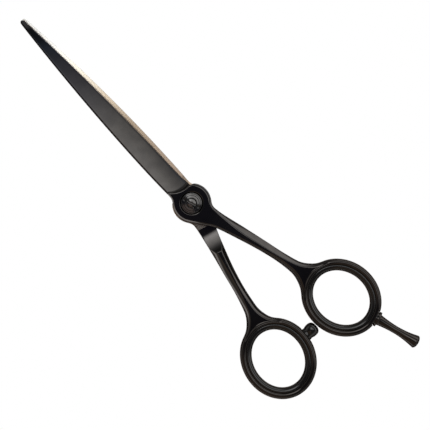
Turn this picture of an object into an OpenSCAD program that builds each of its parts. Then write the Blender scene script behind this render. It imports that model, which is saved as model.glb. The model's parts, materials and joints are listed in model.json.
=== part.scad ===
// Hair cutting shears, 6.5 inch class, lying flat and closed.
// Origin: where the pivot axis meets the plane that the shears lie on.
// +X points to the blade tips, +Y to the thumb ring, +Z out of the tension dial.

/* [Overall] */
// Distance from the pivot axis to the blade tips
blade_l = 88.9; // [80:0.1:95]
// Thickness of each half at the pivot, measured from the plane where the halves meet
boss_t = 2.8; // [2.7:0.05:3.2]
// Free gap between the inner faces of the two halves
contact_gap = 0.04; // [0.02:0.01:0.1]
// Radius of the round boss that carries the pivot
boss_r = 6.92; // [6.6:0.01:7.4]

/* [Blades] */
// Thickness of a blade at its heel
blade_heel_t = 2.2; // [1.8:0.05:2.5]
// Thickness of a blade at its tip
blade_tip_t = 0.95; // [0.7:0.05:1.4]
// Width of the bevel along the spine
spine_bevel = 0.5; // [0.3:0.05:0.7]
// Length of the rounded tip
tip_round = 1.0; // [0.6:0.1:1.5]
// Radius of the grinding wheel that cuts the heel shoulder
heel_grind_r = 8.2; // [7.2:0.1:8.6]

/* [Handles] */
// Long semi-axis of each finger hole
hole_long = 10.8; // [10:0.05:12]
// Short semi-axis of each finger hole
hole_short = 9.1; // [8.5:0.05:10]
// Width of a ring's band, insert and metal together
band_w = 4.15; // [3.8:0.05:4.4]
// Width of the soft insert inside each ring
insert_w = 1.95; // [1.4:0.05:2.1]
// Half thickness of the metal rings
ring_half_t = 2.7; // [2.4:0.05:2.8]
// Distance from the pivot to the start of the scooped relief behind the pivot
relief_start = 11.8; // [11.4:0.1:13]
// Radius of the cutter that makes the scooped relief
relief_r = 14.3; // [12:0.1:18]

/* [Pivot] */
// Radius of the pivot stud where it turns in the bush
stud_r = 1.75; // [1.6:0.01:1.8]
// Radial running clearance of every turning fit
run_gap = 0.05; // [0.03:0.01:0.08]
// Radius of the tension dial
dial_r = 4.0; // [3.8:0.05:4.1]
// Number of balls in the thrust bearing
ball_count = 12; // [8:1:14]
// Radius of a bearing ball
ball_r = 0.44; // [0.4:0.01:0.45]
// Number of click positions in one turn of the dial
click_count = 12; // [6:1:16]

/* [Finger rest and bumper] */
// Radius of the collar at the root of the finger rest
collar_r = 2.8; // [2.6:0.05:2.8]
// Length of the finger rest past its collar
rest_l = 15.2; // [12:0.1:20]
// Radius of the flared end of the finger rest
rest_end_r = 2.4; // [2.2:0.05:2.8]
// Radius of the rubber bumper between the rings
bumper_r = 2.55; // [2.2:0.05:2.7]

/* [Hidden] */
$fn = 64;

// Colours
coat_black = "#1d1c1e";
steel = "#b9b6ae";
rubber_black = "#151414";
bronze = "#b08a4f";
nylon_white = "#dedbd2";

// Every piece is drawn with z = 0 in the plane where the halves meet, and then lifted.
// Each half is drawn in its own frame, with its blade on +X, its ring on the -Y side and
// its outer face up. The thumb half is then turned over about the X axis.
face_z = contact_gap / 2;
finger_boss = [0.05, -0.32];
thumb_boss = [-0.15, -0.25];
boss_chamfer = 0.5;
slack = 0.02;
trim_depth = 1;

// A blade's outline: widest value, tip value, where the taper starts and its exponent
finger_spine = [4.36, 1.05, 15, 1.85];
finger_edge = [3.58, 0.53, 19, 1.65];
thumb_spine = [4.82, 1.30, 24, 1.85];
thumb_edge = [2.90, 0.10, 19, 1.65];
spine_dip = 0.3;
spine_dip_l = 5;
edge_land = 0.12;
edge_bevel_w = 0.35;
edge_bevel_z = 0.45;
spine_bevel_drop = 0.4;
face_middle_share = 0.62;
face_crown = 0.1;
blade_start_x = 2;
blade_step = 4;
tip_cap_l = 0.004;
heel_flare = 0.56;
heel_flare_l = 2.5;
heel_flare_x = 6.4;
heel_end_x = 11.5;
heel_chamfer = 0.4;
heel_grind_y = -2.8;
heel_grind_x = 5.4 + heel_grind_r;

// Control sections of each shank, from the boss to the ring. Each row holds:
// distance along the shank, upper edge, lower edge, crown's upper edge, crown's lower edge,
// half thickness at the crown
finger_shank_angle = 14.7;
finger_shank = [
    [ 2.0, 6.20, -4.20,  5.60, -3.60, 2.80],
    [ 7.6, 4.30, -3.05,  3.70, -2.40, 2.80],
    [12.0, 2.82, -2.70,  2.15, -1.65, 2.74],
    [20.0, 1.92, -2.80,  1.15, -0.70, 2.52],
    [29.0, 1.23, -2.77,  0.35, -0.65, 2.30],
    [37.0, 1.14, -2.70, -0.25, -0.80, 2.25],
    [43.5, 1.85, -3.05,  0.45, -1.60, 2.25],
    [46.0, 2.80, -3.88,  1.40, -2.45, 2.25],
    [49.6, 5.20, -6.00,  3.80, -4.60, 2.25]
];
thumb_shank_angle = 13.9;
thumb_shank = [
    [ 2.0, 6.20, -4.20,  5.60, -3.60, 2.80],
    [ 7.6, 5.10, -3.10,  4.45, -2.45, 2.80],
    [12.0, 3.45, -2.70,  2.70, -1.75, 2.74],
    [20.0, 2.52, -2.35,  1.15, -0.65, 2.52],
    [28.0, 1.90, -2.18,  0.55, -0.30, 2.30],
    [36.0, 1.86, -1.98,  0.35, -0.25, 2.25],
    [43.5, 2.50, -2.38,  1.05, -1.00, 2.25],
    [46.0, 3.25, -3.10,  1.80, -1.75, 2.25],
    [49.8, 5.30, -5.30,  3.90, -3.90, 2.25]
];
shank_side_z = 0.7;
stations_per_span = 4;

// Rings: centre in the half's own frame, and the turn of the long axis from X
finger_ring_centre = [-60.9, -16.2];
finger_ring_turn = 9.2;
thumb_ring_centre = [-61.5, -14.95];
thumb_ring_turn = 11.9;
ring_stations = 56;
ring_section_points = 12;
ring_half_w = 1.25;
ring_squareness = 0.75;
ring_reach = pow(cos(180 / ring_section_points), ring_squareness);
insert_section_points = 10;
insert_squareness = [0.5, 0.6];
insert_reach = pow(cos(180 / insert_section_points), insert_squareness.x);
insert_half_t = boss_t;

// Heights in the pivot, from the plane where the halves meet
race_recess_z = 0.70;
race_out_z = 0.68;
race_in_z = 0.45;
race_r_in = 2.65;
race_r_out = 5.10;
race_gap = 0.08;
ball_pitch_r = 3.9;
cage_half_t = 0.2;
cage_r_in = 2.80;
cage_r_out = 5.00;
bush_r = 2.33;
bush_z = [0.05, 1.50];
dial_seat_z = 1.55;
glide_z = [1.57, 1.77];
click_z = [1.79, 2.09];
click_r = 3.9;
click_pitch_r = 3.45;
click_hole_r = 0.3;
click_spring_z = [2.11, 2.23];
click_spring_r = [3.0, 3.85];
dimple_r = 0.25;
dimple_drop = 0.08;
spring_z = [2.11, 2.33];
spring_r = [2.2, 2.85];
spring_sheet = 0.12;
dial_z = [2.13, 3.25];
dial_hub_r = 2.1;
dial_groove_r = 3.92;
dial_groove_z = 2.36;
dial_edge_z = 2.95;
dial_edge_bevel = [0.35, 0.20];
dial_recess_z = 2.75;
pit_r = 0.45;
pit_depth = 0.35;
pit_pitch_r = 2.75;
pit_angle = 19;
thread_r = 1.65;
stud_head_r = 3.4;
stud_head_z = [-boss_t, -2.08];
stud_neck_top = -0.78;
stud_neck_half = 2.1;
stud_top = 2.72;
stud_flat = 1.35;
lock_head_r = 1.65;
lock_head_z = [2.77, 3.22];
lock_thread_r = 0.75;
lock_hole_bottom = 1.4;
lock_slot_w = 0.4;
lock_slot_depth = 0.25;
lock_chamfer = 0.12;

// Finger rest, measured along its axis from the centre of the finger ring
rest_axis_angle = 196.4;
rest_seat = 14.1;
rest_seat_r = 3.2;
rest_washer = [14.12, 14.45];
rest_collar = [14.47, 15.45];
rest_washer_r = 2.45;
rest_thread_r = 1.2;
rest_thread_start = 12.8;
rest_base_r = 2.0;
rest_waist_r = 1.4;
rest_waist_at = 0.48;
rest_dome = 1.2;
rest_stations = 16;

// Bumper, pressed into the thumb ring. Heights are along Y.
bumper_x = -62.05;
bumper_seat_y = 2.2;
bumper_end_y = -2.75;
bumper_dome = 1.7;
bumper_stem_r = 1.1;
bumper_stem_l = 1.4;

// ---------- Helpers ----------

// The value at t, from 0 to 1, of a smooth curve from b to c, with a and d beyond its ends
function smooth_step(a, b, c, d, t) =
    0.5 * (2 * b + (c - a) * t + (2 * a - 5 * b + 4 * c - d) * t * t
        + (3 * b - a - 3 * c + d) * t * t * t);

// The rows of a table with smooth rows put in between
function smooth_rows(rows, steps) = [
    for (i = [0 : len(rows) - 2], j = [0 : steps - 1])
        smooth_step(rows[max(i - 1, 0)], rows[i], rows[i + 1],
            rows[min(i + 2, len(rows) - 1)], j / steps),
    rows[len(rows) - 1]
];

// A power that keeps the sign of its base
function signed_power(v, p) = sign(v) * pow(abs(v), p);

// A solid through a row of closed sections that all have the same number of points.
// A looped row joins its last section to its first, and an open one gets two end caps.
module loft(sections, looped = false) {
    n = len(sections[0]);
    m = len(sections);
    spans = looped ? m : m - 1;
    sides = [
        for (i = [0 : spans - 1], j = [0 : n - 1], half = [0, 1])
            let (
                a = i * n + j,
                b = i * n + (j + 1) % n,
                c = (i + 1) % m * n + (j + 1) % n,
                d = (i + 1) % m * n + j
            )
            half == 0 ? [a, b, c] : [a, c, d]
    ];
    first_cap = [for (j = [1 : n - 2]) [0, j + 1, j]];
    last_cap = [for (j = [1 : n - 2]) [(m - 1) * n, (m - 1) * n + j, (m - 1) * n + j + 1]];
    polyhedron(
        points = [for (s = sections, p = s) p],
        faces = looped ? sides : concat(sides, first_cap, last_cap)
    );
}

module tube(r_out, r_in, z) {
    translate([0, 0, z[0]])
        difference() {
            cylinder(r = r_out, h = z[1] - z[0]);
            translate([0, 0, -1]) cylinder(r = r_in, h = z[1] - z[0] + 2);
        }
}

// ---------- Blade ----------

// Distance of a blade's outline from the X axis at x
function outline_y(shape, x) =
    let (t = max(0, (x - shape[2]) / (blade_l - shape[2])))
    shape[0] - (shape[0] - shape[1]) * pow(t, shape[3]);

// The spine dips a little towards the boss, and the edge side flares out there
function spine_y(shape, x) =
    outline_y(shape, x) - spine_dip * exp(-max(0, x - heel_flare_x) / spine_dip_l);

function edge_y(shape, x) =
    -outline_y(shape, x) - heel_flare * exp(-max(0, x - heel_flare_x) / heel_flare_l);

function blade_t(x) =
    blade_heel_t + (blade_tip_t - blade_heel_t) * x / blade_l;

// How much of the blade's width is left at x: 1, but falling round the tip
function tip_share(x) =
    let (t = max(0, (x - blade_l + tip_round) / tip_round))
    sqrt(max(0, 1 - t * t));

function blade_section(spine, edge, x) =
    let (
        share = tip_share(x),
        y_spine = spine_y(spine, x),
        y_edge = edge_y(edge, x),
        middle = (y_spine + y_edge) / 2,
        thick = blade_t(x) * (0.5 + 0.5 * share),
        land = edge_land * (0.5 + 0.5 * share),
        rows = [
            [y_edge, -trim_depth],
            [y_edge, land],
            [y_edge + edge_bevel_w, edge_bevel_z * thick / blade_heel_t + land],
            [middle, thick * face_middle_share + face_crown],
            [y_spine - spine_bevel, thick],
            [y_spine, thick - spine_bevel_drop],
            [y_spine, -trim_depth]
        ]
    )
    [for (p = rows) [x, middle + (p[0] - middle) * share, p[1]]];

module blade(spine, edge) {
    straight = [for (x = [blade_start_x : blade_step : blade_l - blade_step]) x];
    rounded = [for (a = [0 : 15 : 75]) blade_l - tip_round + tip_round * sin(a)];
    tip = [blade_l - tip_cap_l];
    loft([for (x = concat(straight, rounded, tip)) blade_section(spine, edge, x)]);
}

// ---------- Boss, heel and shank ----------

module boss(centre) {
    translate([centre.x, centre.y, -trim_depth]) {
        cylinder(r = boss_r, h = boss_t - boss_chamfer + trim_depth);
        translate([0, 0, boss_t - boss_chamfer + trim_depth])
            cylinder(r1 = boss_r, r2 = boss_r - boss_chamfer, h = boss_chamfer);
    }
}

// The full-height step between the boss and the ground face of the blade
module heel(spine, edge) {
    low = edge_y(edge, heel_flare_x);
    high = spine_y(spine, heel_flare_x);
    section = [
        [low, -trim_depth], [low, boss_t], [high - heel_chamfer, boss_t],
        [high, boss_t - heel_chamfer], [high, -trim_depth]
    ];
    difference() {
        rotate([90, 0, 90]) linear_extrude(heel_end_x) polygon(section);
        translate([heel_grind_x, heel_grind_y, 0])
            cylinder(r = heel_grind_r, h = boss_t + 1);
    }
}

function shank_section(row) =
    let (
        upper = row[1],
        lower = row[2],
        crown_up = row[3],
        crown_low = row[4],
        z = row[5]
    )
    [
        for (p = [
            [crown_up, z], [crown_low, z], [lower, shank_side_z], [lower, -shank_side_z],
            [crown_low, -z], [crown_up, -z], [upper, -shank_side_z], [upper, shank_side_z]
        ])
            [-row[0], p[0], p[1]]
    ];

module shank(rows, angle) {
    rotate(angle) loft([for (r = smooth_rows(rows, stations_per_span)) shank_section(r)]);
}

// What is cut away on the inner side, so that the halves can cross at the pivot
module relief(angle) {
    arc_end = 38;
    profile = concat(
        [[blade_l + 20, -8], [blade_l + 20, face_z]],
        [
            for (a = [0 : 3.8 : arc_end])
                [-relief_start - relief_r * sin(a), face_z - relief_r * (1 - cos(a))]
        ],
        [[-relief_start - relief_r * sin(arc_end), -8]]
    );
    rotate(angle)
        translate([0, 50, 0])
            rotate([90, 0, 0])
                linear_extrude(100) polygon(profile);
}

// ---------- Rings ----------

// A point at distance `out` from the finger hole's oval, at angle a round it
function oval_point(a, out) =
    let (
        p = [hole_long * cos(a), hole_short * sin(a)],
        n = [hole_short * cos(a), hole_long * sin(a)]
    )
    p + out * n / norm(n);

function round_off(v) = signed_power(v, ring_squareness) / ring_reach;

function ring_section() = [
    for (i = [0 : ring_section_points - 1])
        let (a = 360 * (i + 0.5) / ring_section_points)
        [
            max(insert_w + slack, band_w + ring_half_w * (round_off(cos(a)) - 1)),
            ring_half_t * round_off(sin(a))
        ]
];

function insert_section() = [
    for (i = [0 : insert_section_points - 1])
        let (a = 360 * (i + 0.5) / insert_section_points)
        [
            insert_w / 2 * (1 + signed_power(cos(a), insert_squareness.x) / insert_reach),
            insert_half_t * signed_power(sin(a), insert_squareness.y)
        ]
];

// An oval ring whose band has the section given as [distance out from the hole, height]
module oval_ring(section, centre, turn) {
    translate(centre)
        rotate(turn)
            loft([
                for (i = [0 : ring_stations - 1])
                    let (a = 360 * i / ring_stations)
                    [
                        for (s = section)
                            let (p = oval_point(a, s[0]))
                            [p.x, p.y, s[1]]
                    ]
            ], looped = true);
}

// ---------- The two halves ----------

module half(boss_centre, spine, edge, rows, angle, ring_centre, ring_turn) {
    difference() {
        union() {
            boss(boss_centre);
            heel(spine, edge);
            blade(spine, edge);
            shank(rows, angle);
            oval_ring(ring_section(), ring_centre, ring_turn);
        }
        relief(angle);
        translate([0, 0, -1]) cylinder(r = race_r_out + race_gap, h = race_recess_z + 1);
    }
}

module turned_over() {
    rotate([180, 0, 0]) children();
}

// Places a shape drawn along +Z on the finger rest's axis, measured from the ring's centre
module on_rest_axis() {
    translate([finger_ring_centre.x, finger_ring_centre.y, 0])
        rotate([0, 90, rest_axis_angle])
            children();
}

module on_bumper_axis(y) {
    translate([bumper_x, y, 0]) rotate([90, 0, 0]) children();
}

module finger_half() {
    color(coat_black)
        difference() {
            half(finger_boss, finger_spine, finger_edge, finger_shank,
                finger_shank_angle, finger_ring_centre, finger_ring_turn);
            cylinder(r = bush_r + slack, h = boss_t);
            translate([0, 0, dial_seat_z]) cylinder(r = dial_r + run_gap + 0.01, h = 4);
            on_rest_axis() {
                translate([0, 0, rest_seat]) cylinder(r = rest_seat_r, h = 4);
                translate([0, 0, rest_thread_start - 0.1])
                    cylinder(r = rest_thread_r + run_gap, h = 4);
            }
        }
}

module thumb_half() {
    color(coat_black)
        difference() {
            turned_over()
                half(thumb_boss, thumb_spine, thumb_edge, thumb_shank,
                    thumb_shank_angle, thumb_ring_centre, thumb_ring_turn);
            translate([-stud_neck_half - slack, -stud_neck_half - slack, -boss_t - 1])
                cube([2 * (stud_neck_half + slack), 2 * (stud_neck_half + slack), boss_t + 1]);
            translate([0, 0, -boss_t - 1])
                cylinder(r = stud_head_r + run_gap, h = stud_head_z[1] + slack + boss_t + 1);
            on_bumper_axis(bumper_seat_y) {
                cylinder(r = bumper_r + run_gap, h = 3);
                translate([0, 0, -bumper_stem_l - 0.1])
                    cylinder(r = bumper_stem_r + slack, h = bumper_stem_l + 1);
            }
        }
}

// ---------- Pivot ----------

module pivot_stud() {
    color(steel)
        difference() {
            union() {
                translate([0, 0, stud_head_z[0]])
                    cylinder(r = stud_head_r, h = stud_head_z[1] - stud_head_z[0]);
                translate([-stud_neck_half, -stud_neck_half, stud_head_z[1] - 0.1])
                    cube([
                        2 * stud_neck_half, 2 * stud_neck_half,
                        stud_neck_top - stud_head_z[1] + 0.1
                    ]);
                translate([0, 0, stud_neck_top - 0.1])
                    cylinder(r = stud_r, h = click_z[0] - 0.05 - stud_neck_top + 0.1);
                translate([0, 0, click_z[0] - 0.1])
                    cylinder(r = thread_r, h = stud_top - click_z[0] + 0.1);
            }
            translate([stud_flat, -3, click_z[0] - 0.05])
                cube([3, 6, click_z[1] - click_z[0] + 0.1]);
            translate([0, 0, lock_hole_bottom - 0.1])
                cylinder(r = lock_thread_r + slack, h = 3);
        }
}

module pivot_bush() {
    color(bronze) tube(bush_r, stud_r + run_gap, bush_z);
}

module race() {
    tube(race_r_out, race_r_in, [race_in_z, race_out_z]);
}

module front_race() {
    color(steel) race();
}

module rear_race() {
    color(steel) turned_over() race();
}

// Copies its children to equal places round the pivot axis
module round_pivot(count, radius) {
    for (i = [0 : count - 1])
        rotate(360 * i / count) translate([radius, 0, 0]) children();
}

module ball_cage() {
    color(bronze)
        difference() {
            tube(cage_r_out, cage_r_in, [-cage_half_t, cage_half_t]);
            round_pivot(ball_count, ball_pitch_r)
                cylinder(r = ball_r + run_gap, h = 2, center = true);
        }
}

module bearing_balls() {
    color(steel) round_pivot(ball_count, ball_pitch_r) sphere(r = ball_r);
}

module glide_washer() {
    color(nylon_white) tube(click_r, stud_r + run_gap, glide_z);
}

// Turns with the stud: its hole has the stud's flat
module click_plate() {
    h = click_z[1] - click_z[0];
    color(steel)
        translate([0, 0, click_z[0]])
            difference() {
                cylinder(r = click_r, h = h);
                difference() {
                    translate([0, 0, -1]) cylinder(r = thread_r + slack, h = h + 2);
                    translate([stud_flat + slack, -3, -2]) cube([3, 6, h + 4]);
                }
                round_pivot(click_count, click_pitch_r)
                    translate([0, 0, -1]) cylinder(r = click_hole_r, h = h + 2);
            }
}

// Turns with the dial: two dimples click into the plate's holes
module click_spring() {
    dimple_z = click_z[1] - dimple_drop + dimple_r;
    color(steel)
        union() {
            tube(click_spring_r[1], click_spring_r[0], click_spring_z);
            round_pivot(2, click_pitch_r)
                difference() {
                    translate([0, 0, dimple_z]) sphere(r = dimple_r);
                    translate([-1, -1, (click_spring_z[0] + click_spring_z[1]) / 2])
                        cube([2, 2, 1]);
                }
        }
}

// A shallow cone spring that loads the dial's thread
module spring_washer() {
    color(steel)
        rotate_extrude()
            polygon([
                [spring_r[0], spring_z[1] - spring_sheet], [spring_r[1], spring_z[0]],
                [spring_r[1], spring_z[0] + spring_sheet], [spring_r[0], spring_z[1]]
            ]);
}

module tension_dial() {
    profile = [
        [thread_r + run_gap, dial_z[0]],
        [dial_hub_r, dial_z[0]],
        [dial_hub_r, dial_groove_z],
        [dial_groove_r, dial_groove_z],
        [dial_groove_r, dial_z[0]],
        [dial_r, dial_z[0]],
        [dial_r, dial_edge_z],
        [dial_r - dial_edge_bevel.x, dial_edge_z + dial_edge_bevel.y],
        [lock_head_r + run_gap, dial_z[1]],
        [lock_head_r + run_gap, dial_recess_z],
        [thread_r + run_gap, dial_recess_z]
    ];
    color(coat_black)
        difference() {
            rotate_extrude() polygon(profile);
            rotate(pit_angle)
                round_pivot(2, pit_pitch_r)
                    translate([0, 0, dial_z[1] - pit_depth]) cylinder(r = pit_r, h = 1);
        }
}

module lock_screw() {
    color(coat_black)
        difference() {
            union() {
                translate([0, 0, lock_hole_bottom])
                    cylinder(r = lock_thread_r, h = lock_head_z[0] - lock_hole_bottom + 0.1);
                translate([0, 0, lock_head_z[0]])
                    cylinder(r = lock_head_r, h = lock_head_z[1] - lock_head_z[0] - lock_chamfer);
                translate([0, 0, lock_head_z[1] - lock_chamfer])
                    cylinder(r1 = lock_head_r, r2 = lock_head_r - lock_chamfer, h = lock_chamfer);
            }
            rotate(pit_angle)
                translate([-lock_head_r - 1, -lock_slot_w / 2, lock_head_z[1] - lock_slot_depth])
                    cube([2 * lock_head_r + 2, lock_slot_w, 1]);
        }
}

// ---------- Handle fittings ----------

module finger_ring_insert() {
    color(rubber_black) oval_ring(insert_section(), finger_ring_centre, finger_ring_turn);
}

module thumb_ring_insert() {
    color(rubber_black)
        turned_over() oval_ring(insert_section(), thumb_ring_centre, thumb_ring_turn);
}

// Radius of the finger rest at t, from 0 at the collar to 1 at the flared end
function rest_r(t) =
    t < rest_waist_at
        ? rest_waist_r + (rest_base_r - rest_waist_r) * pow(1 - t / rest_waist_at, 2)
        : rest_waist_r
            + (rest_end_r - rest_waist_r) * pow((t - rest_waist_at) / (1 - rest_waist_at), 1.9);

module finger_rest() {
    root = rest_collar[1];
    side = [
        for (i = [0 : rest_stations])
            [rest_r(i / rest_stations), root + rest_l * i / rest_stations]
    ];
    dome = [
        for (a = [30 : 30 : 60])
            [rest_end_r * cos(a), root + rest_l + rest_dome * sin(a)]
    ];
    profile = concat(
        [
            [0, rest_thread_start], [rest_thread_r, rest_thread_start],
            [rest_thread_r, rest_collar[0]], [collar_r, rest_collar[0]],
            [collar_r, root]
        ],
        side,
        dome,
        [[0, root + rest_l + rest_dome]]
    );
    color(coat_black) on_rest_axis() rotate_extrude() polygon(profile);
}

module finger_rest_washer() {
    color(rubber_black)
        on_rest_axis() tube(rest_washer_r, rest_thread_r + run_gap, rest_washer);
}

module bumper() {
    body_l = bumper_seat_y - slack - bumper_end_y;
    dome = [
        for (a = [0 : 15 : 75])
            [bumper_r * cos(a), body_l - bumper_dome + bumper_dome * sin(a)]
    ];
    profile = concat(
        [
            [0, -bumper_stem_l], [bumper_stem_r, -bumper_stem_l],
            [bumper_stem_r, 0], [bumper_r, 0]
        ],
        dome,
        [[0, body_l]]
    );
    color(rubber_black)
        on_bumper_axis(bumper_seat_y - slack) rotate_extrude() polygon(profile);
}

// Lifts the shears from the plane where the halves meet to the plane they lie on
module lifted() {
    translate([0, 0, boss_t]) children();
}

lifted() finger_half();
lifted() thumb_half();
lifted() pivot_stud();
lifted() pivot_bush();
lifted() front_race();
lifted() rear_race();
lifted() ball_cage();
lifted() bearing_balls();
lifted() glide_washer();
lifted() click_plate();
lifted() click_spring();
lifted() spring_washer();
lifted() tension_dial();
lifted() lock_screw();
lifted() finger_ring_insert();
lifted() thumb_ring_insert();
lifted() finger_rest();
lifted() finger_rest_washer();
lifted() bumper();
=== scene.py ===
# Hair cutting shears, closed and lying flat, seen from straight above.
# Shapes are worked out in millimetres in each half's own frame: its blade on +X, its ring on
# the -Y side, its outer face up and z = 0 where the halves meet. place_finger and place_thumb
# take them to metres in the shared frame, the thumb half turned over about the X axis.

import json
from collections import namedtuple
from math import asin, atan2, copysign, cos, exp, pi, radians, sin, sqrt

import bmesh
import bpy
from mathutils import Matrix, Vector


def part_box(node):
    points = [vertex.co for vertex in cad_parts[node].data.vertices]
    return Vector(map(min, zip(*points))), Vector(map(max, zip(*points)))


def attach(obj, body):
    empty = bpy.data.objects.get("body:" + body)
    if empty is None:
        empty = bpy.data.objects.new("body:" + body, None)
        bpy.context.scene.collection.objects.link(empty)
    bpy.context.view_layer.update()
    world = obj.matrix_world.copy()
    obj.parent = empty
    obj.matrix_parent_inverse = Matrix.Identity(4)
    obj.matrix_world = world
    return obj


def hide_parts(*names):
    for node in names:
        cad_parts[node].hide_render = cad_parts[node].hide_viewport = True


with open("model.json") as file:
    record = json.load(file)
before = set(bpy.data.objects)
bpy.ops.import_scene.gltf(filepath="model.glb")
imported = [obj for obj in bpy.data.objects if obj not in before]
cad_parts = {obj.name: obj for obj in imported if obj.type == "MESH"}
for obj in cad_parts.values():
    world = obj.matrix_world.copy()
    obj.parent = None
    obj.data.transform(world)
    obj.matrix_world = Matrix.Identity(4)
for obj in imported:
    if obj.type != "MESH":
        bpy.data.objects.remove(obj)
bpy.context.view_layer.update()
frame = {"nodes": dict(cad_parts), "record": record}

MM = 0.001


# ----- Sizes taken from the frame -----

def box_mm(node):
    low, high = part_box(node)
    return low / MM, high / MM


def centre_mm(node):
    low, high = box_mm(node)
    return (low + high) / 2


def radius_mm(node):
    low, high = box_mm(node)
    return (high.x - low.x) / 2


BOSS_T = box_mm("finger_half")[1].z / 2
BLADE_L = box_mm("finger_half")[1].x
DIAL_R = radius_mm("tension_dial")
STUD_HEAD_R = radius_mm("pivot_stud")
RACE_R = radius_mm("front_race")
RACE_OUT_Z = box_mm("front_race")[1].z - BOSS_T
BUSH_R = radius_mm("pivot_bush")
GLIDE_LOW_Z = box_mm("glide_washer")[0].z - BOSS_T
RING_T = box_mm("thumb_half")[1].z - BOSS_T
FINGER_RING = centre_mm("finger_ring_insert")
THUMB_RING = centre_mm("thumb_ring_insert")

# ----- Shape of the halves, in millimetres -----

# Half the gap between the halves, and the room round a fitted part
GAP_Z = 0.02
FIT = 0.05

# Blade outlines: widest value, tip value, where the taper starts and its exponent
FINGER_SPINE = (4.37, 1.05, 15, 1.91)
FINGER_EDGE = (3.50, 0.53, 19, 1.65)
THUMB_SPINE = (4.82, 1.30, 24, 1.85)
THUMB_EDGE = (2.90, 0.10, 19, 1.65)
HEEL_T = 2.2
TIP_T = 0.95
TIP_THIN = 0.5
TIP_ROUND = 1.0
TIP_ANGLES = (20, 40, 57, 70, 79)
SPINE_DIP = 0.3
SPINE_DIP_L = 5
HEEL_FLARE = 0.56
HEEL_FLARE_L = 2.5
HEEL_X = 6.4
SPINE_BEVEL = 0.5
SPINE_BEVEL_DROP = 0.4
EDGE_BEVEL = 0.35
EDGE_BEVEL_Z = 0.45
EDGE_LAND = 0.12
FACE_BULGE = 0.0022
HEEL_WIDTH = 8
HOLLOW = 0.06
INNER_BEVEL = 1.1
INNER_BEVEL_NARROWS = (60, 85)
INNER_BEVEL_Z = 0.15
KNIFE_BEVEL = 0.03

# The grinding wheel that leaves the heel's ridge, and the scoop beside the ridge
GRIND_X = 13.1
GRIND_Y = -2.8
GRIND_R = 8.2
SCOOP_MIN = 0.2
SCOOP_SLOPE = 0.72
SCOOP_STOPS = (0, 0.1, 0.3, 0.55, 0.8, 1.0, 1.2)
RIDGE_LAND = 0.3
RIDGE_LAND_DROP = 0.08
FAN_END_X = 16.0
FAN_STEPS = 5
BLADE_STEP = 2.0
BLADE_COLUMNS = 6

# Boss, and the steps in which its rims blend from the shank and into the blade
BOSS_R = 6.92
BOSS_CHAMFER = 0.5
BOSS_EDGE_CHAMFER = 1.0
INNER_CHAMFER = 0.45
INNER_CHAMFER_Z = 0.35
BORE_CHAMFER = 0.1
RACE_LIP = 0.06
THUMB_NECK_R = 2.15
STUD_HEAD_FLOOR = 2.06
BOSS_EDGE_ROUNDNESS = 0.5
BOSS_UPPER = 22
BOSS_LOWER = 20
BOSS_FROM_SHANK = 5
BOSS_TO_BLADE = 4
BOSS_SHANK_S = 2
BOSS_BLADE_X = 4
BOSS_SEARCH_STEPS = 14
BOSS_ARC_STEPS = 24
BOSS_RELAX = 3
PLATE_STOPS = (0, 0.1, 0.4, 0.7, 0.93, 1)

# Shank sections: distance along the shank, upper edge, lower edge, crown's upper edge,
# crown's lower edge and half thickness at the crown
FINGER_SHANK = (
    (2, 6.2, -4.2, 5.6, -3.6, 2.8),
    (7.6, 4.3, -3.05, 3.7, -2.4, 2.8),
    (12, 2.82, -2.7, 2.15, -1.65, 2.74),
    (20, 1.92, -2.8, 1.15, -0.7, 2.52),
    (29, 1.23, -2.77, 0.35, -0.65, 2.3),
    (37, 1.14, -2.7, -0.25, -0.8, 2.25),
    (43.5, 1.85, -3.05, 0.45, -1.6, 2.25),
    (46, 2.8, -3.88, 1.4, -2.45, 2.25),
    (49.6, 5.2, -6, 3.8, -4.6, 2.25),
)
THUMB_SHANK = (
    (2, 6.2, -4.2, 5.6, -3.6, 2.8),
    (7.6, 5.1, -3.1, 4.45, -2.45, 2.8),
    (12, 3.45, -2.7, 2.7, -1.75, 2.74),
    (20, 2.52, -2.35, 1.15, -0.65, 2.52),
    (28, 1.9, -2.18, 0.55, -0.3, 2.3),
    (36, 1.86, -1.98, 0.35, -0.25, 2.25),
    (43.5, 2.5, -2.38, 1.05, -1, 2.25),
    (46, 3.25, -3.1, 1.8, -1.75, 2.25),
    (49.8, 5.3, -5.3, 3.9, -3.9, 2.25),
)
SHANK_START = 7.6
SHANK_END = 43.5
SHANK_STEP = 1.0
FACET_SLOPE = 0.76
FACET_STEEP = 2.2
FACET_ROUNDNESS = 0.15
FACET_FADE_L = 6
SIDE_Z = 0.7
SHANK_FLAT_STEPS = 12
SHANK_BARE_STEPS = 6
RELIEF_START = 11.8
RELIEF_R = 14.3
RELIEF_BEVEL = 0.12
RELIEF_STEPS = 9
RELIEF_SEARCH_STEP = 0.02
RELIEF_END_GAP = 0.12
CHAMFER_FADE_L = 3
CROWN_COLUMNS = 8
SMOOTH_STEPS = 16

# Rings
HOLE_LONG = 10.8
HOLE_SHORT = 9.1
BAND_W = 4.15
INSERT_W = 1.95
RING_HALF_W = 1.3
RING_SQUARENESS = 0.7
RING_EDGE_Z = 0.15
RING_FAR_STEPS = 60
RING_INNER_STEPS = 4
RING_WALL_SHARES = (0.85, 0, -0.85)
WEB_STEPS = 9
WEB_SEARCH_STEP = 0.3
WEB_ARC_STEPS = 5
WEB_RELAX = 2
WEB_OVERLAP = radians(13)

# Soft inserts: a rounded section, fullest near its outer side
INSERT_T = 2.6
INSERT_INNER = -0.09
INSERT_CREST = 1.6
INSERT_SQUARENESS = 0.74
INSERT_POINTS = 20
INSERT_STATIONS = 96
INSERT_SHOULDER = ((0.11, 0.975), (0.03, 0.9), (0.03, 0.7), (-0.03, 0.3))

# Sides of the turned finger rest and bumper
FITTING_SIDES = 64

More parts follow.
